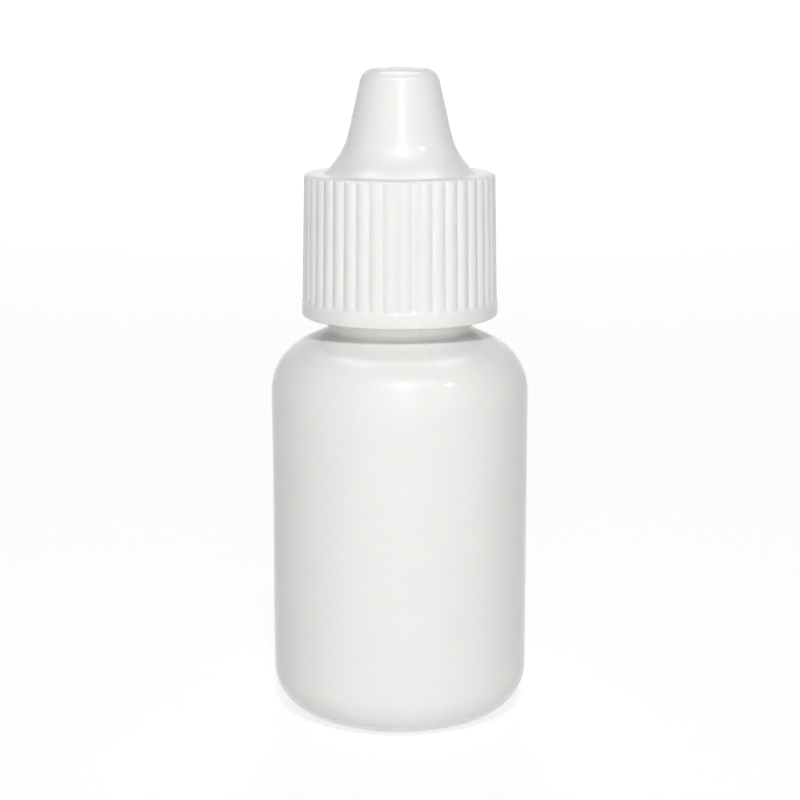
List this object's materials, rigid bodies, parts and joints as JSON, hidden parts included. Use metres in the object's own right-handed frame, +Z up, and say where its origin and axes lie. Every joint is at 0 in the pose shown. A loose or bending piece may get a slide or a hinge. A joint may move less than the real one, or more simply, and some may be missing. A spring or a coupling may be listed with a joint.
{
  "type": "eye drop bottle",
  "caption": "Squeeze bottle that meters eye drops through a press-in nozzle, closed by a ribbed screw cap with a tapered nose.",
  "frame": {"origin": "centre of the base, on the surface that the bottle stands on", "axes": "+Z up along the bottle's axis, from the base to the cap's nose; -Y is the side that faces the viewer in the picture"},
  "size_m": [0.025, 0.025, 0.063],
  "materials": {
    "bottle": "waxy white low-density polyethylene, satin",
    "dropper_tip": "soft white low-density polyethylene, satin",
    "cap": "moulded white polypropylene, satin gloss"
  },
  "bodies": {
    "bottle": {"bottle": "bottle", "dropper_tip": "dropper_tip"},
    "cap": {"cap": "cap"}
  },
  "joints": [
    {"name": "cap_lift", "type": "slide", "parent": "bottle", "child": "cap", "axis": [0, 0, 1], "range_m": [0, 0.024]}
  ]
}
